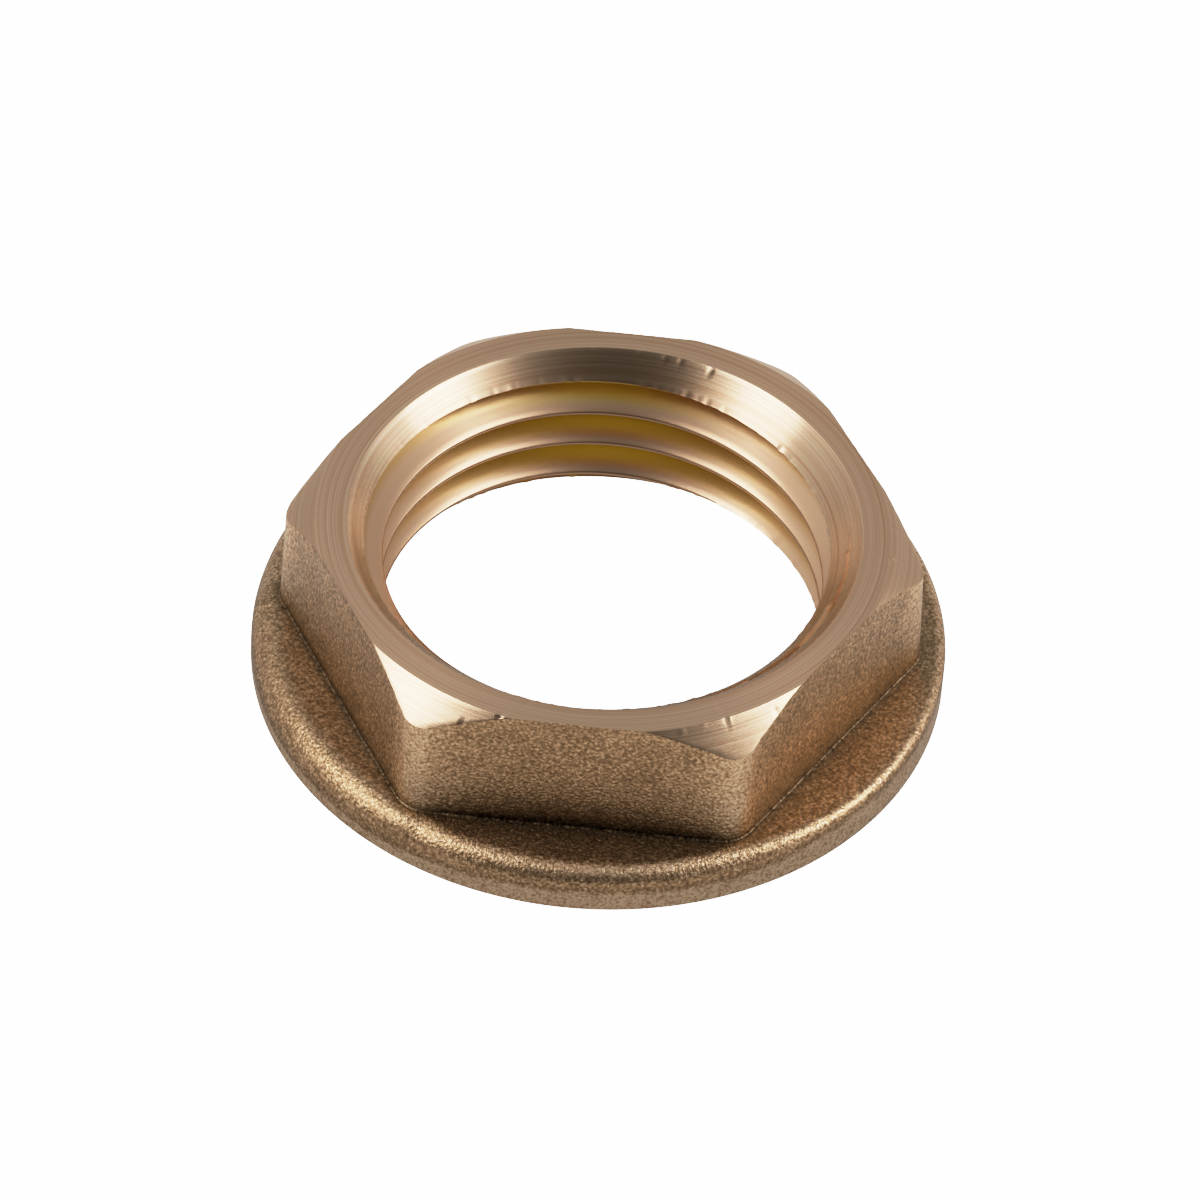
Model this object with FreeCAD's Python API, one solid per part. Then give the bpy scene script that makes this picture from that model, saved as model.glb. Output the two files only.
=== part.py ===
import FreeCAD
import Part

import math
import os

# A flanged back nut, forged in one piece and then turned: a round flange, a hexagon standing on it
# and a threaded hole through both. Millimetres, +Z up along the hole, origin at the centre of the
# underside, with two flats square to Y and two corners on X.

# Overall sizes
total_height = 8.0
across_flats = 24.0  # spanner size, at the top of the flats
flange_diameter = 30.0
flange_thickness = 2.1

# Forged form
flange_shoulder_radius = 0.8  # round from the flange's top to its rim
hexagon_corner_radius = 1.5  # round on the upright corners
hexagon_draft_deg = 2.0  # the flats lean out towards the flange, so that they leave the die
root_fillet_radius = 0.3  # where the flats meet the flange

# Turned form
underside_edge_break = 0.1  # chamfer round the faced underside
corner_chamfer_diameter = 24.6  # circle on the top face where the corner chamfer starts
corner_chamfer_slope_deg = 41.0  # fall of the chamfer's cone below the top face
thread_minor_diameter = 18.9  # half-inch pipe thread, inside its crests
upper_countersink_diameter = 22.0
lower_countersink_diameter = 22.3
countersink_slope_deg = 45.0

# Room that a cutting form has beyond the metal
cutter_room = 2.0

SIDES = 6
HALF_SIDE_DEG = 180 / SIDES
ORIGIN = FreeCAD.Vector(0, 0, 0)
AXIS = FreeCAD.Vector(0, 0, 1)
EDGE_TOLERANCE = 1e-4


def tangent(angle_deg):
    """Tangent of an angle in degrees."""
    return math.tan(math.radians(angle_deg))


def polar(radius, angle_deg, height):
    """Point at a radius and an angle about the nut's axis."""
    angle = math.radians(angle_deg)
    return FreeCAD.Vector(radius * math.cos(angle), radius * math.sin(angle), height)


def section(radius, height):
    """Point of a turned profile, drawn in the XZ plane."""
    return FreeCAD.Vector(radius, 0, height)


def turned(edges):
    """Solid of revolution about the nut's axis, from a closed profile of edges."""
    profile = Part.Face(Part.Wire(edges))
    return profile.revolve(ORIGIN, AXIS, 360)


def lines_through(points):
    """Straight edges from each point to the next."""
    return Part.makePolygon(points).Edges


def rounded_hexagon(flats, height):
    """Level wire of a hexagon with rounded corners."""
    apothem = flats / 2
    round_centre_apothem = apothem - hexagon_corner_radius
    half_flat = round_centre_apothem * tangent(HALF_SIDE_DEG)
    flat_end_reach = math.hypot(apothem, half_flat)
    flat_end_deg = math.degrees(math.atan2(half_flat, apothem))
    corner_reach = math.hypot(round_centre_apothem, half_flat) + hexagon_corner_radius
    edges = []
    for side in range(SIDES):
        facing = HALF_SIDE_DEG * (2 * side + 1)
        corner = facing + HALF_SIDE_DEG
        next_facing = corner + HALF_SIDE_DEG
        flat_start = polar(flat_end_reach, facing - flat_end_deg, height)
        flat_end = polar(flat_end_reach, facing + flat_end_deg, height)
        corner_tip = polar(corner_reach, corner, height)
        next_flat_start = polar(flat_end_reach, next_facing - flat_end_deg, height)
        edges.append(Part.LineSegment(flat_start, flat_end).toShape())
        edges.append(Part.Arc(flat_end, corner_tip, next_flat_start).toShape())
    return Part.Wire(edges)


def flange():
    """Forged disc with an upright rim that rolls over into the level top; its lower edge is broken."""
    rim_radius = flange_diameter / 2
    round_start = section(rim_radius, flange_thickness - flange_shoulder_radius)
    round_end = section(rim_radius - flange_shoulder_radius, flange_thickness)
    round_fall = flange_shoulder_radius * (1 - math.sqrt(0.5))
    round_middle = section(rim_radius - round_fall, flange_thickness - round_fall)
    below = lines_through([
        round_end,
        section(0, flange_thickness),
        section(0, 0),
        section(rim_radius - underside_edge_break, 0),
        section(rim_radius, underside_edge_break),
        round_start,
    ])
    shoulder = Part.Arc(round_start, round_middle, round_end).toShape()
    return turned(below + [shoulder])


def turned_hexagon():
    """Drafted hexagon from the flange's top to the nut's top, its upper corners turned off by a cone."""
    hexagon_height = total_height - flange_thickness
    root_flats = across_flats + 2 * hexagon_height * tangent(hexagon_draft_deg)
    root = rounded_hexagon(root_flats, flange_thickness)
    top = rounded_hexagon(across_flats, total_height)
    forged = Part.makeLoft([root, top], True, True)
    cone_top_radius = corner_chamfer_diameter / 2
    cone_foot_radius = flange_diameter / 2 + cutter_room
    cone_fall = (cone_foot_radius - cone_top_radius) * tangent(corner_chamfer_slope_deg)
    envelope = turned(lines_through([
        section(0, 0),
        section(cone_foot_radius, 0),
        section(cone_foot_radius, total_height - cone_fall),
        section(cone_top_radius, total_height),
        section(0, total_height),
        section(0, 0),
    ]))
    return forged.common(envelope)


def threaded_hole():
    """Room for the thread at its crests, with a countersink at each end. It reaches past both faces."""
    crest_radius = thread_minor_diameter / 2
    lower_radius = lower_countersink_diameter / 2
    upper_radius = upper_countersink_diameter / 2
    slope = tangent(countersink_slope_deg)
    widening = cutter_room / slope
    return turned(lines_through([
        section(0, -cutter_room),
        section(lower_radius + widening, -cutter_room),
        section(crest_radius, (lower_radius - crest_radius) * slope),
        section(crest_radius, total_height - (upper_radius - crest_radius) * slope),
        section(upper_radius + widening, total_height + cutter_room),
        section(0, total_height + cutter_room),
        section(0, -cutter_room),
    ]))


def root_edges(blank):
    """Edges where the hexagon stands on the flange's level top."""
    shoulder_start = flange_diameter / 2 - flange_shoulder_radius
    found = []
    for edge in blank.Edges:
        middle = edge.valueAt((edge.FirstParameter + edge.LastParameter) / 2)
        ends = [vertex.Z for vertex in edge.Vertexes]
        level = all(abs(height - flange_thickness) < EDGE_TOLERANCE for height in ends + [middle.z])
        if level and math.hypot(middle.x, middle.y) < shoulder_start - EDGE_TOLERANCE:
            found.append(edge)
    return found


def back_nut():
    """The forged blank with a fillet round the hexagon's root, then the hole cut through it."""
    blank = flange().fuse(turned_hexagon()).removeSplitter()
    filleted = blank.makeFillet(root_fillet_radius, root_edges(blank))
    return filleted.cut(threaded_hole()).Solids[0]


os.makedirs("parts", exist_ok=True)
nut = back_nut()
nut.exportStep("parts/back_nut.step")
size = nut.optimalBoundingBox()
print("back_nut: valid", nut.isValid(), "volume mm3", round(nut.Volume, 1), "faces", len(nut.Faces))
print("size mm:", round(size.XLength, 3), round(size.YLength, 3), round(size.ZLength, 3))
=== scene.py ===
# %% [markdown]
# # A forged brass back nut
# The nut is one piece of brass. A press forged it hot into a round flange with a hexagon on it, and shot
# blasting left those sides grainy. A lathe then cut the top, the corner chamfers and the hole, and a tap
# cut the thread. This lesson builds that metal as one closed mesh, gives each kind of surface its own
# finish, and lights it as a small studio would. It starts by loading the solid part, whose box the mesh
# has to stay in.

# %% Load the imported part
import math

import bmesh
import bpy
import numpy as np
from mathutils import Matrix, Vector, noise


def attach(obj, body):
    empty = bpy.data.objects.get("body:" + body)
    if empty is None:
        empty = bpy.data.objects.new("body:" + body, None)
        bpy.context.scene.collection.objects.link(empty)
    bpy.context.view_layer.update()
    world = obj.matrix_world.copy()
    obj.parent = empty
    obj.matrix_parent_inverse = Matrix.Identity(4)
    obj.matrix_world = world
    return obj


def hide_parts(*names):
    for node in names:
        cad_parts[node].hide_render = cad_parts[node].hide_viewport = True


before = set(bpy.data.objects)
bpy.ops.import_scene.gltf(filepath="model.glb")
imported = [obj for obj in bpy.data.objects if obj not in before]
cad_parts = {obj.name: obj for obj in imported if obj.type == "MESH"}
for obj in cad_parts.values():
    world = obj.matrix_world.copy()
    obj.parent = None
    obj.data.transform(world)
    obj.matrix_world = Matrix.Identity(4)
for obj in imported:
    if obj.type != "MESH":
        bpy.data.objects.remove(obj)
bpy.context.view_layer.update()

MM = 0.001

# %% [markdown]
# ## The sizes
# Every size is in millimetres, and nearly all are those of the solid. Two differ. The fillet at the
# hexagon's root is smaller than the solid's 0.3 mm, because a wider one mirrored a light line that the
# photograph doesn't show. The crests reach 0.02 mm further in than the solid's plain bore. The thread is
# the half-inch pipe thread, which climbs 1.814 mm in each turn.

# %% Sizes of the nut
HEIGHT = 8.0
FLANGE_RADIUS = 15.0
FLANGE_TOP = 2.1
UNDERSIDE_BREAK = 0.1
APOTHEM = 12.0
CORNER_RADIUS = 1.5
DRAFT = math.tan(math.radians(2.0))
ROOT_FILLET = 0.08
CROWN_RADIUS = 12.3
CROWN_FALL = math.tan(math.radians(41.0))
SINK_RADIUS = 11.0
LOWER_SINK_RADIUS = 11.15
CREST_RADIUS = 9.43
PITCH = 1.814
print("turns of thread in the nut:", round(HEIGHT / PITCH, 2))

# %% [markdown]
# ## The hexagon, column by column
# The nut is almost a turned part, so its mesh is a ring of columns. Each column is a slice through the wall
# at one angle, and neighbouring slices are joined by quads. Half a degree is 0.1 mm at the crown, fine
# enough for the rounded corners. Forging leaves the flats a little uneven, so a long and a short wave of
# noise move them by hundredths of a millimetre. Where the chamfer cuts them, their edge comes out slightly
# ragged, as on the real nut.

# %% Angles and the hexagon's reach
COLUMNS = 720
SIDE_DEGREES = 60
HALF_SIDE = SIDE_DEGREES // 2
LONG_WAVE = {"depth": 0.014, "width": 2.2, "seed": 0}
SHORT_WAVE = {"depth": 0.018, "width": 0.32, "seed": 40}
SKIN_SINK = 0.01
CROWN_PASSES = 12
angles = np.arange(COLUMNS) * (2 * np.pi / COLUMNS)
level = np.full(COLUMNS, HEIGHT)
degrees_off_corner = np.abs((np.degrees(angles) + HALF_SIDE) % SIDE_DEGREES - HALF_SIDE)


def forged_wave(height, depth, width, seed):
    """Smooth unevenness of this depth, with bumps of this width, for every column at its own height."""
    spots = zip(np.cos(angles) * APOTHEM, np.sin(angles) * APOTHEM, height)
    return depth * np.array([noise.noise(Vector((x, y, z + seed)) / width) for x, y, z in spots])


def hexagon_reach(height):
    """Distance from the axis to the drafted, rounded hexagon, for every column at its own height."""
    apothem = APOTHEM + (HEIGHT - height) * DRAFT
    half_side = math.radians(HALF_SIDE)
    off_corner = np.radians(degrees_off_corner)
    off_flat = half_side - off_corner
    centre = (apothem - CORNER_RADIUS) / math.cos(half_side)
    arc_reach = np.sqrt(np.maximum(CORNER_RADIUS ** 2 - (centre * np.sin(off_corner)) ** 2, 0))
    arc = centre * np.cos(off_corner) + arc_reach
    half_flat = (apothem - CORNER_RADIUS) * math.tan(half_side)
    on_flat = apothem * np.tan(off_flat) <= half_flat
    skin = forged_wave(height, **LONG_WAVE) + forged_wave(height, **SHORT_WAVE) - SKIN_SINK
    return np.where(on_flat, apothem / np.cos(off_flat), arc) + skin


# The chamfer's edge depends on the reach, and the reach on the edge's height, so a few passes settle both.
crown_edge = level.copy()
for _ in range(CROWN_PASSES):
    crown_edge = HEIGHT - np.maximum(hexagon_reach(crown_edge) - CROWN_RADIUS, 0) * CROWN_FALL
print("the chamfer cuts the corners down by", round(float(HEIGHT - crown_edge.min()), 3), "mm")

# %% [markdown]
# ## The slice outside the hole
# A slice runs from the hole's lower edge under the flange, up the rim, over the shoulder, up the flat and
# across the top to the upper edge. One function rounds a corner of all the slices at once. Even a sharp
# edge gets a tiny round, which catches the light. The slice ends on a short lip inside each countersink.

# %% Corners of the slice
TINY = 1e-9
MOST_OF_RUN = 0.45
LIP = 0.15


def at(radius, height):
    """The same corner of the slice in every column."""
    corner = [np.broadcast_to(radius, COLUMNS), np.broadcast_to(height, COLUMNS)]
    return np.stack(corner, axis=1).astype(float)


def bend(before, corner, after, radius, count):
    """Points of an arc of this radius, which replaces a corner, for every column at once."""
    back = before - corner
    ahead = after - corner
    back_length = np.maximum(np.linalg.norm(back, axis=1), TINY)
    ahead_length = np.maximum(np.linalg.norm(ahead, axis=1), TINY)
    back = back / back_length[:, None]
    ahead = ahead / ahead_length[:, None]
    half = np.arccos(np.clip((back * ahead).sum(1), -1, 1)) / 2
    reach = np.minimum(radius / np.tan(half), MOST_OF_RUN * np.minimum(back_length, ahead_length))
    start = corner + back * reach[:, None]
    end = corner + ahead * reach[:, None]
    middle = back + ahead
    middle = middle / np.maximum(np.linalg.norm(middle, axis=1), TINY)[:, None]
    centre = corner + middle * (reach / np.cos(half))[:, None]
    sweep = np.pi - 2 * half
    points = []
    for part in np.linspace(0, 1, count):
        first = np.sin((1 - part) * sweep)[:, None] * (start - centre)
        last = np.sin(part * sweep)[:, None] * (end - centre)
        points.append(centre + (first + last) / np.sin(sweep)[:, None])
    return points


low_lip = at(LOWER_SINK_RADIUS - LIP, LIP)
low_edge = at(LOWER_SINK_RADIUS, 0)
under_edge = at(FLANGE_RADIUS - UNDERSIDE_BREAK, 0)
rim_foot = at(FLANGE_RADIUS, UNDERSIDE_BREAK)
root_reach = hexagon_reach(np.full(COLUMNS, FLANGE_TOP))
root = at(root_reach, FLANGE_TOP)
flat_top = at(hexagon_reach(crown_edge), crown_edge)
crown = at(np.minimum(hexagon_reach(level), CROWN_RADIUS), HEIGHT)
high_edge = at(SINK_RADIUS, HEIGHT)
high_lip = at(SINK_RADIUS - LIP, HEIGHT - LIP)
print("flange is", round(float((FLANGE_RADIUS - root_reach).min()), 2), "mm wide at the corners")

# %% [markdown]
# ## The shoulder of the flange
# The die didn't fill evenly, and trimming took off the rest, so the flange's shoulder is rounder on one
# side than on the other. Its round is set at a few angles and runs smoothly between them. Where a corner of
# the hexagon leaves little room, the round is narrower than it is high.

# %% Uneven shoulder
# angle in degrees: round in mm
SHOULDER_ROUNDS = {
    -177: 1.30, -135: 1.30, -122: 1.40, -110: 1.05, -87: 0.85, -59: 0.90,
    -51: 0.60, -41: 0.45, -27: 0.40, 3: 0.50, 60: 0.80, 120: 0.95,
}
SMOOTHING_COLUMNS = 14
SHOULDER_ROWS = 10
ROOM_TO_ROOT = 0.12


def by_angle(settings):
    """Values for all columns, from a few values at angles in degrees."""
    return np.interp(np.degrees(angles), list(settings), list(settings.values()), period=360)


rounds = by_angle(SHOULDER_ROUNDS)
window = 2 * SMOOTHING_COLUMNS + 1
wrapped = np.concatenate([rounds[-SMOOTHING_COLUMNS:], rounds, rounds[:SMOOTHING_COLUMNS]])
rounds = np.convolve(wrapped, np.ones(window) / window, "valid")
widths = np.minimum(rounds, FLANGE_RADIUS - root_reach - ROOT_FILLET - ROOM_TO_ROOT)
shoulder = [
    at(FLANGE_RADIUS - widths * (1 - math.cos(t)), FLANGE_TOP - rounds * (1 - math.sin(t)))
    for t in np.linspace(0, np.pi / 2, SHOULDER_ROWS)]
print("shoulder round from", round(float(rounds.min()), 2), "to", round(float(rounds.max()), 2), "mm")

# %% [markdown]
# ## All the rows of the slice
# The corners and the straight runs between them are listed from the hole's lower edge to its upper one,
# with the number of steps in each run and the finish that the metal has there. The tiny round between a
# blasted flat and a turned chamfer counts as blasted.

# %% Rows outside the hole
EDGE_ROUND = 0.05
BREAK_ROUND = 0.03
profile = [
    # points of a corner, steps in the run after it, finish
    ([low_lip], 1, "turned"),
    (bend(low_lip, low_edge, under_edge, EDGE_ROUND, 3), 4, "turned"),
    (bend(low_edge, under_edge, rim_foot, BREAK_ROUND, 2), 1, "turned"),
    (bend(under_edge, rim_foot, shoulder[0], BREAK_ROUND, 2), 4, "blasted"),
    (shoulder, 5, "blasted"),
    (bend(shoulder[-1], root, flat_top, ROOT_FILLET, 4), 14, "blasted"),
    (bend(root, flat_top, crown, EDGE_ROUND, 3), 5, "turned"),
    (bend(flat_top, crown, high_edge, EDGE_ROUND, 3), 6, "turned"),
    (bend(crown, high_edge, high_lip, EDGE_ROUND, 3), 1, "turned"),
    ([high_lip], 1, "turned"),
]
rows = []
finishes = []
for corner, (arc, steps, finish) in enumerate(profile):
    rows.extend(arc)
    if corner + 1 < len(profile):
        start = rows[-1]
        end = profile[corner + 1][0][0]
        rows.extend(start + (end - start) * (step / steps) for step in range(1, steps))
    finishes += [finish] * (len(rows) - len(finishes))
    if len(arc) > 1 and finish == "turned" and profile[corner - 1][2] == "blasted":
        finishes[-steps - len(arc) + 1:-steps] = ["blasted"] * (len(arc) - 1)
first_shoulder = next(number for number, row in enumerate(rows) if row is shoulder[0])
print("rows outside the hole:", len(rows))

# %% [markdown]
# ## Nicks and burrs
# A nut is tipped into a bin with hundreds of others, and the lathe's tools push small burrs over the edges
# that they leave. Each mark here has a place, a depth and a width. Points near it move along the normal of
# the slice, inwards for a nick and outwards for a burr, which has a negative depth.

# %% Nicks and burrs
MARKS = (
    # angle in degrees, radius, height, depth and width in mm
    (254.8, 12.36, 7.95, 0.06, 0.08), (255.6, 12.34, 7.97, -0.03, 0.07),
    (248.2, 12.93, 7.44, 0.06, 0.10), (299.4, 12.33, 7.98, 0.03, 0.07),
    (300.1, 12.32, 7.98, -0.02, 0.07), (290.3, 12.42, 7.88, -0.04, 0.07),
    (294.7, 12.36, 7.95, -0.03, 0.07), (309.7, 12.65, 7.70, 0.05, 0.08),
    (299.7, 11.59, 8.00, 0.05, 0.08), (327.0, 11.97, 8.00, 0.05, 0.08),
    (358.0, 12.30, 7.99, 0.06, 0.09), (258.7, 11.28, 8.00, 0.04, 0.08),
    (7.3, 12.34, 7.97, 0.05, 0.09), (268.0, 11.98, 7.97, -0.04, 0.08),
    (270.5, 12.00, 7.96, -0.03, 0.08), (98.5, 10.92, 7.92, -0.02, 0.08),
    (87.5, 10.94, 7.94, -0.03, 0.08), (81.6, 10.88, 7.88, -0.035, 0.09),
    (77.9, 10.85, 7.85, -0.03, 0.09), (70.5, 10.85, 7.85, -0.04, 0.10),
)
skin = np.array(rows)
travel = np.gradient(skin, axis=0)
outward = np.stack([travel[..., 1], -travel[..., 0]], axis=-1)
outward = outward / np.maximum(np.linalg.norm(outward, axis=-1, keepdims=True), TINY)
for degrees, radius, height, depth, width in MARKS:
    beside = radius * ((angles - math.radians(degrees) + np.pi) % (2 * np.pi) - np.pi)
    gap = np.hypot(np.hypot(skin[..., 0] - radius, skin[..., 1] - height), beside)
    skin = skin - outward * (depth * np.exp(-(gap / width) ** 2))[..., None]
skin[..., 1] = np.minimum(skin[..., 1], HEIGHT)
rows = list(skin)
print("nicks and burrs:", len(MARKS))

# %% [markdown]
# ## The thread
# A tap cuts the thread as one groove that climbs like a screw. Its flanks lean 27.5 degrees each, and its
# crests and the bottom of its groove are rounded. The crests are sharper than the standard's, the bottom
# is a little rounder, and it lies 0.2 mm further out. Where the groove runs out in the upper countersink,
# it goes no further out than the standard's. The height of one crest at the far side, read from the
# photograph, sets where the screw starts.

# %% Thread profile
FAR_CREST_HEIGHT = 5.467
FAR_CREST_DEGREES = 92.95
FLANK_ANGLE = math.radians(27.5)
CREST_ROUND = 0.12
GROOVE_ROUND = 0.30
STANDARD_RADIUS = 10.478
RUN_OUT = 7.2
HELIX_START = FAR_CREST_HEIGHT - PITCH * FAR_CREST_DEGREES / 360
FLANK = math.tan(FLANK_ANGLE)
CREST_REACH = CREST_ROUND * math.cos(FLANK_ANGLE)
GROOVE_REACH = GROOVE_ROUND * math.cos(FLANK_ANGLE)
FLANK_START = CREST_RADIUS + CREST_ROUND * (1 - math.sin(FLANK_ANGLE))
FLANK_END = FLANK_START + (PITCH / 2 - CREST_REACH - GROOVE_REACH) / FLANK
GROOVE_RADIUS = FLANK_END + GROOVE_ROUND * (1 - math.sin(FLANK_ANGLE))


def rise_at(angle):
    """Height of the middle of a crest at an angle."""
    return HELIX_START + PITCH * angle / (2 * np.pi)


def thread_radius(climb):
    """Radius of the thread at a height above the middle of a crest."""
    off = np.abs((climb + PITCH / 2) % PITCH - PITCH / 2)
    from_bottom = PITCH / 2 - off
    crest = CREST_RADIUS + CREST_ROUND - np.sqrt(np.maximum(CREST_ROUND ** 2 - off ** 2, 0))
    round_reach = np.sqrt(np.maximum(GROOVE_ROUND ** 2 - from_bottom ** 2, 0))
    bottom = GROOVE_RADIUS - GROOVE_ROUND + round_reach
    flank = FLANK_START + (off - CREST_REACH) / FLANK
    return np.where(off < CREST_REACH, crest, np.where(from_bottom < GROOVE_REACH, bottom, flank))


def tapped_radius(height, rise):
    """Radius of the tapped wall, no deeper than the standard where it runs out at the top."""
    limit = STANDARD_RADIUS + np.maximum(RUN_OUT - height, 0)
    return np.minimum(thread_radius(height - rise), limit)


def sink_radius(height):
    """Radius of the nearer countersink's cone at a height."""
    return np.maximum(SINK_RADIUS - (HEIGHT - height), LOWER_SINK_RADIUS - height)


print("the groove is", round(GROOVE_RADIUS - CREST_RADIUS, 3), "mm deep")

# %% [markdown]
# ## Rows in the hole
# The rows of mesh in the hole climb with the thread, so that each crest and flank keeps a clean edge. After
# one turn a row has risen by one pitch and meets the row that was above it. Where the thread meets a
# countersink, the nearest row moves onto the edge between them, and a noise pushes small burrs out of it.

# %% Rows in the hole
# heights of the rows above a crest, up to the middle of the groove
HALF_TURN = [0.04, 0.075, 0.106, 0.22, 0.40, 0.57, 0.74]
FINE_STEP = 0.01
BURR = 0.06
BURR_LENGTH = 0.3
turn_rows = np.array([0] + HALF_TURN + [PITCH / 2] + [PITCH - climb for climb in HALF_TURN[::-1]])
turns = math.ceil((HEIGHT - 2 * LIP + PITCH) / PITCH) + 1
top_turn = math.ceil((HEIGHT - LIP - HELIX_START) / PITCH)
climbs = np.concatenate([turn_rows + (top_turn - turn) * PITCH for turn in range(turns)])
climbs = np.sort(climbs)[::-1]
fine = np.arange(HEIGHT - LIP, LIP, -FINE_STEP)


def hole_slice(angle):
    """Heights and radii of one column's rows in the hole, from the top down."""
    rise = rise_at(angle)
    heights = climbs + rise
    burrs = np.zeros(len(climbs))
    wall = tapped_radius(fine, rise) - sink_radius(fine)
    used = -1
    for step in np.nonzero(wall[:-1] * wall[1:] < 0)[0]:
        part = wall[step] / (wall[step] - wall[step + 1])
        crossing = fine[step] + (fine[step + 1] - fine[step]) * part
        nearest = max(int(np.argmin(np.abs(heights - crossing))), used + 1)
        heights[nearest] = crossing
        on_edge = Vector((math.cos(angle) * CREST_RADIUS, math.sin(angle) * CREST_RADIUS, crossing))
        burrs[nearest] = BURR * max(noise.noise(on_edge / BURR_LENGTH), 0)
        used = nearest
    return heights, np.maximum(tapped_radius(heights, rise), sink_radius(heights)) - burrs


print("rows in the hole:", len(climbs))

# %% [markdown]
# ## Painted shade, dust, wear and painted highlights outside the hole
# Shade falls in the root of the hexagon, so the root is painted darker: a wider painted shade and a narrow
# dark crease. Dust dulls the metal beside it. The corners, the shoulder and the rim are painted brighter,
# partly as wear from rubbing on other nuts and partly as painted highlights. Each vertex will carry an
# amount of each, which the materials read. The amounts differ round the nut, so they are set at a few
# angles.

# %% Painted root shade, dust, and wear with painted highlights
# painted shade at the root and in its crease; wear with painted highlights on the corners, shoulder and rim
ROOT_SHADE_WIDTH = 1.2
ON_FLANGE = 0.5
CREASE_SHADE_WIDTH = 0.18
DUST = 0.5
DUST_WIDTH = 1.8
CORNER_WEAR_AND_SHEEN = 1.1
SHEEN_DEGREES = 5.0
ABOVE_FLANGE = 0.01
RIM_WEAR_AND_SHEEN = 1.4
RIM_BAND = 0.05
root_shade_amount = by_angle({-177: 0.15, -122: 0.2, -100: 0.55, -70: 0.5, -45: 0.4, -10: 0.4, 30: 0.35})
crease_shade_amount = by_angle({
    -177: 0.75, -122: 0.75, -87: 0.8, -62: 0.8, -50: 0.4, -10: 0.35, 40: 0.5, 120: 0.7})
shoulder_wear_and_sheen = by_angle({-177: 0.2, -122: 0.3, -87: 1.1, -50: 1.0, -27: 0.9, 60: 0.6})
corner_wear_and_sheen = CORNER_WEAR_AND_SHEEN * np.exp(-(degrees_off_corner / SHEEN_DEGREES) ** 2)


def outer_amounts(column, number, radius, height):
    """Painted root shade, dust, and wear with painted highlights at a point of a row outside the hole."""
    off_root = math.hypot(radius - root[column, 0], height - FLANGE_TOP)
    side = 1.0 if height > FLANGE_TOP else ON_FLANGE
    # painted shade: darker near the root of the hexagon, less on the flange, with a narrow dark crease
    root_shade = side * root_shade_amount[column] * math.exp(-(off_root / ROOT_SHADE_WIDTH) ** 2)
    root_shade += crease_shade_amount[column] * math.exp(-(off_root / CREASE_SHADE_WIDTH) ** 2)
    dust = DUST * math.exp(-(off_root / DUST_WIDTH) ** 2)
    # painted highlight, with some real wear, on the corners, the shoulder and the rim
    wear_and_sheen = corner_wear_and_sheen[column] if height > FLANGE_TOP + ABOVE_FLANGE else 0.0
    if 0 <= number - first_shoulder < len(shoulder):
        upwards = (number - first_shoulder) / (len(shoulder) - 1)
        wear_and_sheen = shoulder_wear_and_sheen[column] * math.sin(math.pi * upwards ** 2)
        dust = dust * upwards ** 2
    elif radius > FLANGE_RADIUS - RIM_BAND:
        wear_and_sheen = RIM_WEAR_AND_SHEEN
    return {"root_shade": root_shade, "dust": dust, "wear_and_sheen": wear_and_sheen}


print("crease from", round(float(crease_shade_amount.min()), 2), "to", round(float(crease_shade_amount.max()), 2))

# %% [markdown]
# ## Painted bounce light and dust in the hole
# A painted reflection of light that bounced between the flanks tints the bottom of the groove gold at the
# far side, and a painted shade tints it brown beside that. The tint starts 0.4 mm out from the crests. In
# the top turn the countersink took off part of the flank above, which leaves less to bounce from, so the
# tint there is narrower. The countersink gets duller towards the near side.

# %% Painted bounce light and dust in the hole
# angle of the far side, where the painted gold reflection is strongest
FAR_SIDE_DEGREES = 95.0
FAR_SIDE_SPREAD = 33.0
BOUNCE_TINT_START = 0.4
BOUNCE_TINT_REACH = 0.3
WHOLE_FLANK = 1.0
WHOLE_REACH = 0.2
CUT_POWER = 2.5
CONE_DUST = 0.9
SAME_WALL = 0.002
off_far_side = np.abs((np.degrees(angles) - FAR_SIDE_DEGREES + 180) % 360 - 180)
far_side_weight = np.exp(-(off_far_side / FAR_SIDE_SPREAD) ** 2)
cone_dust = CONE_DUST * (1 - np.cos(np.radians(off_far_side))) / 2


def overhang(height, rise):
    """How far the flank above a point of the groove reaches in, less what the countersink took off."""
    flank_foot = rise + np.ceil((height - rise) / PITCH) * PITCH - CREST_REACH
    cut = (FLANK_START + flank_foot / FLANK - SINK_RADIUS + HEIGHT) / (1 + 1 / FLANK)
    return GROOVE_RADIUS - np.maximum(CREST_RADIUS, SINK_RADIUS - HEIGHT + cut)


def hole_amounts(column, radius, height):
    """Dust at a point of a countersink, or the painted gold reflection and brown shade at a point of the
    thread.
    """
    if radius <= sink_radius(height) + SAME_WALL:
        return {"dust": cone_dust[column]}
    whole = np.clip((overhang(height, rise_at(angles[column])) - WHOLE_FLANK) / WHOLE_REACH, 0, 1)
    depth = radius - CREST_RADIUS - BOUNCE_TINT_START
    power = CUT_POWER - (CUT_POWER - 1) * whole
    # painted reflection: gold from light bounced in the groove, strongest at the far side
    bounce_gold = far_side_weight[column] ** power * np.clip(depth / BOUNCE_TINT_REACH, 0, 1)
    # painted shade: brown in the groove beside the far side
    groove_shade = (1 - far_side_weight[column]) * np.clip((depth - BOUNCE_TINT_REACH * (1 - whole)) / BOUNCE_TINT_REACH, 0, 1)
    return {"bounce_gold": bounce_gold, "groove_shade": groove_shade}


print("most dust on the countersink:", round(float(cone_dust.max()), 2))

# %% [markdown]
# ## Vertices
# Each column's points become vertices with their amounts of dust, wear, painted shade and painted light. In
# the hole, the rows above and below the countersinks' lips all end on the lip.

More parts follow.
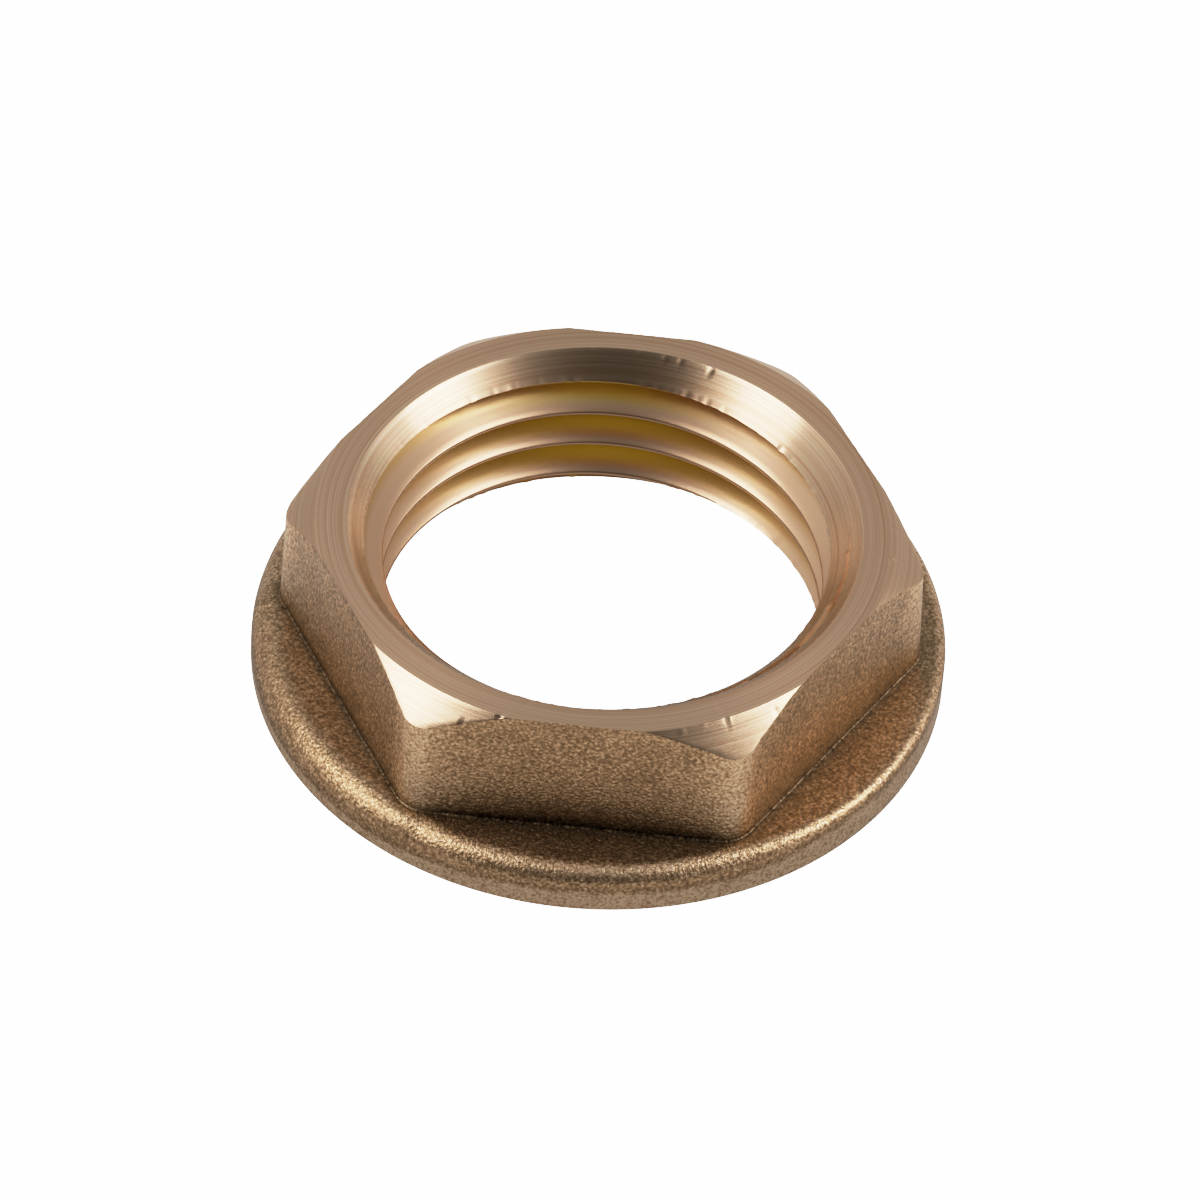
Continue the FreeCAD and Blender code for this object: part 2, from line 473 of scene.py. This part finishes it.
# %% Vertices of all columns
LIP_ROOM = 0.015
vertices = []
vertex_amounts = {"root_shade": [], "dust": [], "wear_and_sheen": [], "bounce_gold": [], "groove_shade": []}
outer_numbers = []
hole_numbers = []
hole_heights = []


def place(around, radius, height, amounts):
    """Adds a vertex with its amounts of dust, wear, painted shade and painted light, and returns its
    number.
    """
    vertices.append((*(around * radius), height))
    for kind, values in vertex_amounts.items():
        values.append(amounts.get(kind, 0.0))
    return len(vertices) - 1


for column, angle in enumerate(angles):
    around = np.array([math.cos(angle), math.sin(angle)])
    outer = []
    for number, row in enumerate(rows):
        radius, height = row[column]
        amounts = outer_amounts(column, number, radius, height)
        if number == len(rows) - 1:
            amounts["dust"] = cone_dust[column]
        outer.append(place(around, radius, height, amounts))
    heights, radii = hole_slice(angle)
    inner = []
    for height, radius in zip(heights, radii):
        if height > HEIGHT - LIP - LIP_ROOM:
            inner.append(outer[-1])
        elif height < LIP + LIP_ROOM:
            inner.append(outer[0])
        else:
            inner.append(place(around, radius, height, hole_amounts(column, radius, height)))
    outer_numbers.append(outer)
    hole_numbers.append(inner)
    hole_heights.append(heights)
print("vertices:", len(vertices))

# %% [markdown]
# ## Faces
# Each pair of columns is joined row by row, and corners that fall together are left out of a face. A face
# of the hole is turned metal in a countersink and tapped metal in the thread, which its own middle decides.
# Between the last column and the first, the rows in the hole have climbed by one turn.

# %% Faces of all columns
FINISHES = ["blasted", "turned", "tapped"]
HALF_STEP = np.pi / COLUMNS
HALF_RISE = PITCH / COLUMNS / 2
faces = []
face_finishes = []


def join(corners, finish):
    """Adds one face, leaving out corners that fall together."""
    kept = [number for spot, number in enumerate(corners) if number != corners[spot - 1]]
    if len(kept) > 2:
        faces.append(kept)
        face_finishes.append(FINISHES.index(finish))


def hole_finish(height, angle):
    """Finish of the hole's wall at a height and an angle."""
    in_cone = tapped_radius(height, rise_at(angle)) < sink_radius(height) - SAME_WALL
    return "turned" if in_cone else "tapped"


for column in range(COLUMNS):
    following = (column + 1) % COLUMNS
    outer = outer_numbers[column]
    next_outer = outer_numbers[following]
    for row in range(len(rows) - 1):
        join([outer[row], next_outer[row], next_outer[row + 1], outer[row + 1]], finishes[row])
    lift = len(turn_rows) if following == 0 else 0
    inner = hole_numbers[column]
    next_inner = [next_outer[-1]] * lift + hole_numbers[following]
    for row in range(len(climbs) - 1):
        middle = (hole_heights[column][row] + hole_heights[column][row + 1]) / 2 + HALF_RISE
        finish = hole_finish(middle, angles[column] + HALF_STEP)
        join([inner[row], next_inner[row], next_inner[row + 1], inner[row + 1]], finish)
print("faces:", len(faces))

# %% [markdown]
# ## The mesh
# The lists become one mesh, which rides on the part's only body and stands for its solid. The modifier lets
# the large faces lead the shading, so that the flats look flat beside their tiny rounds. The count of open
# edges says whether the metal is closed.

# %% Mesh of the nut
SHARP_ANGLE = math.radians(38)
mesh = bpy.data.meshes.new("back_nut_metal")
mesh.from_pydata([Vector(v) * MM for v in vertices], [], faces)
mesh.polygons.foreach_set("material_index", face_finishes)
mesh.polygons.foreach_set("use_smooth", [True] * len(faces))
for kind, values in vertex_amounts.items():
    mesh.attributes.new(kind, "FLOAT", "POINT").data.foreach_set("value", values)
mesh.update()
mesh.set_sharp_from_angle(angle=SHARP_ANGLE)
nut = bpy.data.objects.new("back_nut_metal", mesh)
bpy.context.scene.collection.objects.link(nut)
weighted = nut.modifiers.new("large faces lead", "WEIGHTED_NORMAL")
weighted.mode = "FACE_AREA"
weighted.keep_sharp = True
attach(nut, "root")
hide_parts("back_nut")

look = bmesh.new()
look.from_mesh(mesh)
open_edges = sum(1 for edge in look.edges if len(edge.link_faces) != 2)
triangles = sum(len(face.verts) - 2 for face in look.faces)
volume = round(look.calc_volume() / MM ** 3, 1)
print("open edges:", open_edges, "triangles:", triangles, "volume mm3:", volume)
look.free()

# %% [markdown]
# ## Colours and nodes
# Colours are written as the sRGB hex values that a picture editor shows, and one function turns them into
# the linear values that Blender renders with. One small function adds a node, sets it and links it. Every
# pattern works in millimetres of the nut's own frame, so its scale is a real size. A Mix node has sockets
# of the same name for numbers, vectors and colours, so its colour sockets are picked by number.

# %% Helpers for materials
MIX_AMOUNT = 0
MIX_COLOUR = 6
MIX_TINT = 7
MIX_RESULT = 2


def linear(code):
    """Linear colour of an sRGB hex value such as #B5A642."""
    parts = [int(code[i:i + 2], 16) / 255 for i in (1, 3, 5)]
    return tuple(p / 12.92 if p <= 0.04045 else ((p + 0.055) / 1.055) ** 2.4 for p in parts) + (1.0,)


def add(tree, kind, inputs=None, stops=(), **settings):
    """Adds a node, sets its properties and the stops of a ramp, and links or sets its inputs."""
    made = tree.nodes.new(kind)
    for key, value in settings.items():
        setattr(made, key, value)
    for key, value in (inputs or {}).items():
        if isinstance(value, bpy.types.NodeSocket):
            tree.links.new(value, made.inputs[key])
        else:
            made.inputs[key].default_value = value
    for number, (position, code) in enumerate(stops):
        elements = made.color_ramp.elements
        stop = elements[number] if number < len(elements) else elements.new(position)
        stop.position = position
        stop.color = linear(code)
    return made


def new_material(name):
    """Empty node material, its node tree, and a coordinate in millimetres of the nut's own frame."""
    material = bpy.data.materials.new(name)
    material.use_nodes = True
    tree = material.node_tree
    tree.nodes.clear()
    metres = add(tree, "ShaderNodeTexCoord").outputs["Object"]
    scaled = add(tree, "ShaderNodeVectorMath", {0: metres, "Scale": 1 / MM}, operation="SCALE")
    return material, tree, scaled.outputs[0]


print("linear brass:", [round(c, 3) for c in linear("#EEC49E")])

# %% [markdown]
# ## Blasted brass
# Shot blasting cleans the scale off a hot forging and leaves a dull skin of small craters. A noise gives
# the grit and a cell pattern the peaks between craters. Both tilt the surface as bump and set its tone,
# because the peaks are rubbed bright while the rest stays brown. Painted shade at the root of the hexagon
# lowers the tone, and wear with painted highlights raises it. The ramp has room above and below the plain
# metal, so that the grain still shows where either is strong.

# %% Tone of the blasted brass
# The grain is about three and four pixels of the photograph wide. Any finer grain isn't drawn.
GRIT = 0.12
CRATER = 0.17
PATCH = 1.6
CRATER_FALL = -0.35
CRATER_PEAK = 0.38
PATCH_PART = 0.15
# the painted shade lowers the tone, and wear with painted highlights raises it
SHADE_PART = -0.40
WEAR_AND_SHEEN_PART = 0.19
RAMP_SCALE = 0.75
RAMP_START = 0.05
blasted, tree, mm = new_material("blasted_forged_brass")
grit = add(tree, "ShaderNodeTexNoise", {"Vector": mm, "Scale": 1 / GRIT, "Detail": 2.0, "Roughness": 0.55})
craters = add(tree, "ShaderNodeTexVoronoi", {"Vector": mm, "Scale": 1 / CRATER, "Randomness": 1.0})
patches = add(tree, "ShaderNodeTexNoise", {"Vector": mm, "Scale": 1 / PATCH, "Detail": 2.0})
peaks = add(tree, "ShaderNodeMath", {
    0: craters.outputs["Distance"], 1: CRATER_FALL, 2: CRATER_PEAK}, operation="MULTIPLY_ADD")
relief = add(tree, "ShaderNodeMath", {0: grit.outputs["Fac"], 1: peaks.outputs[0]}, operation="ADD")
clean = add(tree, "ShaderNodeMath", {
    0: patches.outputs["Fac"], 1: PATCH_PART, 2: relief.outputs[0]}, operation="MULTIPLY_ADD")
# painted shade at the root of the hexagon
root_shade = add(tree, "ShaderNodeAttribute", attribute_name="root_shade")
shaded = add(tree, "ShaderNodeMath", {
    0: root_shade.outputs["Fac"], 1: SHADE_PART, 2: clean.outputs[0]}, operation="MULTIPLY_ADD")
# wear with painted highlights on the corners, the shoulder and the rim
wear_and_sheen = add(tree, "ShaderNodeAttribute", attribute_name="wear_and_sheen")
worn_and_lit = add(tree, "ShaderNodeMath", {
    0: wear_and_sheen.outputs["Fac"], 1: WEAR_AND_SHEEN_PART, 2: shaded.outputs[0]}, operation="MULTIPLY_ADD")
tone = add(tree, "ShaderNodeMath", {
    0: worn_and_lit.outputs[0], 1: RAMP_SCALE, 2: RAMP_START}, operation="MULTIPLY_ADD")
print("grain mm:", GRIT, CRATER, PATCH)

# %% [markdown]
# The tone picks a colour from the near-black of the painted shade to the bright brass of the painted
# highlights, and dust takes a little of the red out of it.
# Brass is a metal, so its colour is the tint of what it mirrors, and the roughness of a blasted skin
# spreads that wide.

# %% Blasted forged brass
# Brass, forged and shot blasted: dull brown to the eye, with bright specks.
DUST_TINT = "#DDF1FF"
BLASTED_BUMP = 0.030 * MM
# the dark stops serve the painted shade at the root, the bright stops the painted highlights
ramp = add(tree, "ShaderNodeValToRGB", {"Fac": tone.outputs[0]}, stops=[
    (0.0, "#120D09"), (0.2, "#34261A"), (0.575, "#9D7C5B"),
    (0.6875, "#C29C76"), (0.8, "#E6BE96"), (0.92, "#FFDCB6")])
dust = add(tree, "ShaderNodeAttribute", attribute_name="dust")
dulled = add(tree, "ShaderNodeMix", {
    MIX_AMOUNT: dust.outputs["Fac"], MIX_COLOUR: ramp.outputs["Color"], MIX_TINT: linear(DUST_TINT),
}, data_type="RGBA", blend_type="MULTIPLY")
bump = add(tree, "ShaderNodeBump", {
    "Height": relief.outputs[0], "Strength": 1.0, "Distance": BLASTED_BUMP})
shader = add(tree, "ShaderNodeBsdfPrincipled", {
    "Base Color": dulled.outputs[MIX_RESULT], "Metallic": 1.0, "Roughness": 0.35,
    "Normal": bump.outputs["Normal"]})
add(tree, "ShaderNodeOutputMaterial", {"Surface": shader.outputs[0]})
mesh.materials.append(blasted)
print(blasted.name, "bump mm", BLASTED_BUMP / MM)

# %% [markdown]
# ## Turned brass
# The lathe's tool leaves fine rings, which stretch every highlight across them. A noise that changes fast
# from ring to ring and slowly round the axis draws them. The ring's number grows with the radius and falls
# with the height, so that it changes along the top, the countersinks and the chamfers alike.

# %% Rings of the turned brass
# About two pixels of the photograph, the finest that shows. A finer real feed is drawn coarser by this.
FEED = 0.09
ROUND_SCALE = 0.35
RINGS_PER_HEIGHT = -1.9
turned, tree, mm = new_material("turned_brass")
parts = add(tree, "ShaderNodeSeparateXYZ", {0: mm})
plan = add(tree, "ShaderNodeCombineXYZ", {"X": parts.outputs["X"], "Y": parts.outputs["Y"]})
off_axis = add(tree, "ShaderNodeVectorMath", {0: plan.outputs[0]}, operation="LENGTH")
heading = add(tree, "ShaderNodeVectorMath", {0: plan.outputs[0]}, operation="NORMALIZE")
slow = add(tree, "ShaderNodeVectorMath", {0: heading.outputs[0], "Scale": ROUND_SCALE}, operation="SCALE")
ring = add(tree, "ShaderNodeMath", {
    0: parts.outputs["Z"], 1: RINGS_PER_HEIGHT, 2: off_axis.outputs["Value"]}, operation="MULTIPLY_ADD")
fast = add(tree, "ShaderNodeMath", {0: ring.outputs[0], 1: 1 / FEED}, operation="MULTIPLY")
across = add(tree, "ShaderNodeCombineXYZ", {"Z": fast.outputs[0]})
ring_place = add(tree, "ShaderNodeVectorMath", {0: slow.outputs[0], 1: across.outputs[0]})
rings = add(tree, "ShaderNodeTexNoise", {
    "Vector": ring_place.outputs[0], "Scale": 1.0, "Detail": 3.0, "Roughness": 0.65})
print("feed mm:", FEED)

# %% [markdown]
# The rings tint the metal a little and tilt it as bump. The shader's anisotropy stretches the highlights,
# turned by a quarter turn from the direction round the axis.

# %% Turned brass
# Brass, turned on a lathe: bright and pinkish to the eye, with highlights that fan out across the rings.
TURNED_BUMP = 0.003 * MM
ramp = add(tree, "ShaderNodeValToRGB", {"Fac": rings.outputs["Fac"]}, stops=[
    (0.28, "#D2A580"), (0.72, "#F8D6B3")])
dust = add(tree, "ShaderNodeAttribute", attribute_name="dust")
dulled = add(tree, "ShaderNodeMix", {
    MIX_AMOUNT: dust.outputs["Fac"], MIX_COLOUR: ramp.outputs["Color"], MIX_TINT: linear(DUST_TINT),
}, data_type="RGBA", blend_type="MULTIPLY")
bump = add(tree, "ShaderNodeBump", {
    "Height": rings.outputs["Fac"], "Strength": 1.0, "Distance": TURNED_BUMP})
tangent = add(tree, "ShaderNodeTangent", direction_type="RADIAL", axis="Z")
shader = add(tree, "ShaderNodeBsdfPrincipled", {
    "Base Color": dulled.outputs[MIX_RESULT], "Metallic": 1.0, "Roughness": 0.27, "Anisotropic": 0.85,
    "Anisotropic Rotation": 0.25, "Normal": bump.outputs["Normal"], "Tangent": tangent.outputs[0]})
add(tree, "ShaderNodeOutputMaterial", {"Surface": shader.outputs[0]})
mesh.materials.append(turned)
print(turned.name, "bump mm", TURNED_BUMP / MM)

# %% [markdown]
# ## Tapped brass
# The tap's teeth rub the flanks bright and pinkish. A painted reflection tints the bottom of the groove
# gold at the far side, and a painted shade tints it brown beside that. Light that bounces between the
# flanks gets yellower each time. A noise stretched along the groove stands for the marks of the teeth.

# %% Tapped brass
# Brass, cut by a tap: smooth and bright to the eye, with a painted gold reflection and a painted brown
# shade in the groove. The marks are about two pixels of the photograph wide, the finest that shows, so they
# may be coarser than the real ones.
TOOTH_MARK = 0.10
MARK_LENGTH = 1.2
MARK_PART = 0.2
TAPPED_BUMP = 0.002 * MM
# tint of the painted brown shade in the groove
GROOVE_SHADE_TINT = "#DED6A4"
lengthwise = TOOTH_MARK / MARK_LENGTH
tapped, tree, mm = new_material("tapped_brass")
squeezed = add(tree, "ShaderNodeVectorMath", {
    0: mm, 1: (lengthwise, lengthwise, 1.0)}, operation="MULTIPLY")
marks = add(tree, "ShaderNodeTexNoise", {
    "Vector": squeezed.outputs[0], "Scale": 1 / TOOTH_MARK, "Detail": 3.0})
# painted gold reflection in the bottom of the groove; it moves the ramp to its gold end
bounce_gold = add(tree, "ShaderNodeAttribute", attribute_name="bounce_gold")
mottle = add(tree, "ShaderNodeMath", {
    0: marks.outputs["Fac"], 1: MARK_PART, 2: bounce_gold.outputs["Fac"]}, operation="MULTIPLY_ADD")
ramp = add(tree, "ShaderNodeValToRGB", {"Fac": mottle.outputs[0]}, stops=[
    (0.1, "#E1B794"), (1.0, "#F4D672")])
# painted brown shade in the groove beside the far side
groove_shade = add(tree, "ShaderNodeAttribute", attribute_name="groove_shade")
groove_shaded = add(tree, "ShaderNodeMix", {
    MIX_AMOUNT: groove_shade.outputs["Fac"], MIX_COLOUR: ramp.outputs["Color"], MIX_TINT: linear(GROOVE_SHADE_TINT),
}, data_type="RGBA", blend_type="MULTIPLY")
bump = add(tree, "ShaderNodeBump", {
    "Height": marks.outputs["Fac"], "Strength": 1.0, "Distance": TAPPED_BUMP})
shader = add(tree, "ShaderNodeBsdfPrincipled", {
    "Base Color": groove_shaded.outputs[MIX_RESULT], "Metallic": 1.0, "Roughness": 0.28,
    "Normal": bump.outputs["Normal"]})
add(tree, "ShaderNodeOutputMaterial", {"Surface": shader.outputs[0]})
mesh.materials.append(tapped)
print(tapped.name, "tooth mark mm", TOOTH_MARK)

# %% [markdown]
# ## The table
# The nut lies on a plain white table that is lit evenly, so it has no shadow. The camera sees it as clean
# white paper. The metal mirrors it dimmer, with a painted shadow close to the nut and a painted pool of
# light that fades far away. One mix of two glows gives both. The pool of light lies a little to the front.

# %% White table
# Matt white paper: plain white to the eye.
TABLE_SIDE = 1.5
TABLE_DROP = -0.02 * MM
POOL_CENTRE = (0.05, -1.0, 0.0)
# painted shadow close to the nut and a painted pool of light, seen only in the metal's reflections
NEAR_EDGE = {"From Min": 16.0, "From Max": 20.0, "To Min": 0.34, "To Max": 0.84}
FAR_EDGE = {"From Min": 22.0, "From Max": 90.0, "To Min": 1.0, "To Max": 0.40}
PAPER_LIGHT = 3.8
table_corners = [
    (x * TABLE_SIDE, y * TABLE_SIDE, TABLE_DROP) for x, y in ((-1, -1), (1, -1), (1, 1), (-1, 1))]
floor_mesh = bpy.data.meshes.new("table_top")
floor_mesh.from_pydata(table_corners, [], [(0, 1, 2, 3)])
floor = bpy.data.objects.new("table_top", floor_mesh)
bpy.context.scene.collection.objects.link(floor)
paper, tree, mm = new_material("white_table")
to_pool = add(tree, "ShaderNodeVectorMath", {0: mm, 1: POOL_CENTRE}, operation="SUBTRACT")
off_pool = add(tree, "ShaderNodeVectorMath", {0: to_pool.outputs[0]}, operation="LENGTH")
near = add(tree, "ShaderNodeMapRange", {"Value": off_pool.outputs["Value"], **NEAR_EDGE})
far = add(tree, "ShaderNodeMapRange", {"Value": off_pool.outputs["Value"], **FAR_EDGE})
pool = add(tree, "ShaderNodeMath", {
    0: near.outputs["Result"], 1: far.outputs["Result"]}, operation="MULTIPLY")
mirrored = add(tree, "ShaderNodeEmission", {"Color": linear("#FFFDFA"), "Strength": pool.outputs[0]})
seen = add(tree, "ShaderNodeEmission", {"Color": linear("#FEFEFE"), "Strength": PAPER_LIGHT})
rays = add(tree, "ShaderNodeLightPath")
mix = add(tree, "ShaderNodeMixShader", {
    "Fac": rays.outputs["Is Camera Ray"], 1: mirrored.outputs[0], 2: seen.outputs[0]})
add(tree, "ShaderNodeOutputMaterial", {"Surface": mix.outputs[0]})
floor_mesh.materials.append(paper)
print("table", floor.name, "side m", 2 * TABLE_SIDE)

# %% [markdown]
# ## The camera
# The camera looks down at 45 degrees from about a foot away through a long lens. Its angles, its distance
# and the pixel where the nut's origin falls come from edges measured in the photograph, which is 1200
# pixels square. A small swing of the lens puts the origin on that pixel.

# %% Camera
ELEVATION = math.radians(45.4556)
ROLL = math.radians(-3.5778)
AZIMUTH = math.radians(2.9491)
DISTANCE = 315.508 * MM
FRAME_SIDE = 1200
FOCAL_PIXELS = 7281.52
ORIGIN_PIXEL = (597.187, 655.811)
SENSOR_WIDTH = 36.0
NEAREST_SEEN = 0.01
turn = Matrix.Rotation(AZIMUTH, 3, "Z") @ Matrix.Rotation(math.pi / 2 - ELEVATION, 3, "X")
turn = turn @ Matrix.Rotation(-ROLL, 3, "Z")
rightward = (ORIGIN_PIXEL[0] - FRAME_SIDE / 2) / FOCAL_PIXELS
upward = (FRAME_SIDE / 2 - ORIGIN_PIXEL[1]) / FOCAL_PIXELS
aim = Vector((rightward, upward, -1)).normalized()
swing = Vector((0, 0, -1)).rotation_difference(aim).to_matrix()
turn = turn @ swing.transposed()
camera_data = bpy.data.cameras.new("camera")
camera_data.sensor_width = SENSOR_WIDTH
camera_data.lens = FOCAL_PIXELS / FRAME_SIDE * SENSOR_WIDTH
camera_data.clip_start = NEAREST_SEEN
camera = bpy.data.objects.new("camera", camera_data)
camera.matrix_world = Matrix.Translation(-(turn @ aim) * DISTANCE) @ turn.to_4x4()
bpy.context.scene.collection.objects.link(camera)
bpy.context.scene.camera = camera
print("camera at", [round(c, 4) for c in camera.matrix_world.translation])

# %% [markdown]
# ## The softboxes
# Two tall softboxes stand to the left and the right. Bright metal shows little but reflections, so the
# boxes' places matter more than their power: each one is where the countersink and the chamfers mirror a
# highlight. A box's power is worked out from how bright its face should look.

# %% Softboxes
BOX_DISTANCE = 0.45
BOX_WIDTH = 0.19


def direction(azimuth, elevation):
    """Unit vector; azimuth in degrees goes from the camera's side to the right, elevation upwards."""
    east = math.radians(azimuth - 90) + AZIMUTH
    up = math.radians(elevation)
    return Vector((math.cos(east) * math.cos(up), math.sin(east) * math.cos(up), math.sin(up)))


def softbox(name, azimuth, elevation, height, brightness):
    """Area light that faces the nut; brightness is how bright its face looks, with 1 as white."""
    data = bpy.data.lights.new(name, "AREA")
    data.shape = "RECTANGLE"
    data.size = BOX_WIDTH
    data.size_y = height
    data.energy = brightness * math.pi * BOX_WIDTH * height
    box = bpy.data.objects.new(name, data)
    box.location = direction(azimuth, elevation) * BOX_DISTANCE
    box.rotation_euler = box.location.to_track_quat("Z", "Y").to_euler()
    bpy.context.scene.collection.objects.link(box)
    return box


left_box = softbox("left_box", azimuth=-74, elevation=46, height=0.32, brightness=3.8)
right_box = softbox("right_box", azimuth=84, elevation=43, height=0.31, brightness=3.9)
print("boxes at", [[round(c, 3) for c in box.location] for box in (left_box, right_box)])

# %% [markdown]
# ## The room
# The room behind the boxes is dim in front of the nut and brighter behind it. A few soft glows on its walls
# blur the boxes' edges. Each glow is a power of the cosine between a ray and the glow's direction.

# %% Room
BACK_AZIMUTH = 165
WALL = {"From Min": -0.6, "From Max": 0.9, "To Min": 0.05, "To Max": 0.46}
GLOWS = (
    # azimuth and elevation in degrees, sharpness, brightness
    (-78, 30, 9, 0.7), (-118, 42, 9, 0.35), (78, 30, 9, 0.7), (100, 22, 30, 1.05),
)
world = bpy.data.worlds.new("studio")
world.use_nodes = True
tree = world.node_tree
ray = add(tree, "ShaderNodeTexCoord").outputs["Generated"]
to_back = add(tree, "ShaderNodeVectorMath", {
    0: ray, 1: direction(BACK_AZIMUTH, 0)}, operation="DOT_PRODUCT")
wall = add(tree, "ShaderNodeMapRange", {"Value": to_back.outputs["Value"], **WALL})
light = wall.outputs["Result"]
for azimuth, elevation, sharpness, brightness in GLOWS:
    facing = add(tree, "ShaderNodeVectorMath", {
        0: ray, 1: direction(azimuth, elevation)}, operation="DOT_PRODUCT")
    ahead = add(tree, "ShaderNodeMath", {0: facing.outputs["Value"], 1: 0.0}, operation="MAXIMUM")
    glow = add(tree, "ShaderNodeMath", {0: ahead.outputs[0], 1: sharpness}, operation="POWER")
    total = add(tree, "ShaderNodeMath", {
        0: glow.outputs[0], 1: brightness, 2: light}, operation="MULTIPLY_ADD")
    light = total.outputs[0]
background = tree.nodes["Background"]
background.inputs["Color"].default_value = (1, 1, 1, 1)
tree.links.new(light, background.inputs["Strength"])
bpy.context.scene.world = world
print("glows in the room:", len(GLOWS))

# %% [markdown]
# ## The film
# A photograph keeps some colour in its highlights, because film and sensors bend towards white instead of
# stopping there. The view's curve does the same: it follows the light up to a half, and then bends.

# %% Film curve
FILM_WHITE = 4.0
FILM_STRAIGHT = 0.5
ALL_COLOURS = 3
FILM_POINTS = (
    # light, and how bright the picture shows it
    (0.0, 0.0), (0.25, 0.25), (0.5, 0.49), (1.0, 0.77), (1.75, 0.90), (2.75, 0.96), (4.0, 1.0),
)
view = bpy.context.scene.view_settings
view.view_transform = "Standard"
view.use_curve_mapping = True
curve_mapping = view.curve_mapping
curve_mapping.white_level = (FILM_WHITE, FILM_WHITE, FILM_WHITE)
points = curve_mapping.curves[ALL_COLOURS].points
while len(points) < len(FILM_POINTS):
    points.new(0.5, 0.5)
for point, (light, shown) in zip(points, FILM_POINTS):
    point.location = (light / FILM_WHITE, shown)
    point.handle_type = "VECTOR" if light < FILM_STRAIGHT else "AUTO"
curve_mapping.update()
print("film points:", len(points))

# %% [markdown]
# ## The end

# %% The end
print("finishes on the nut:", [material.name for material in mesh.materials])
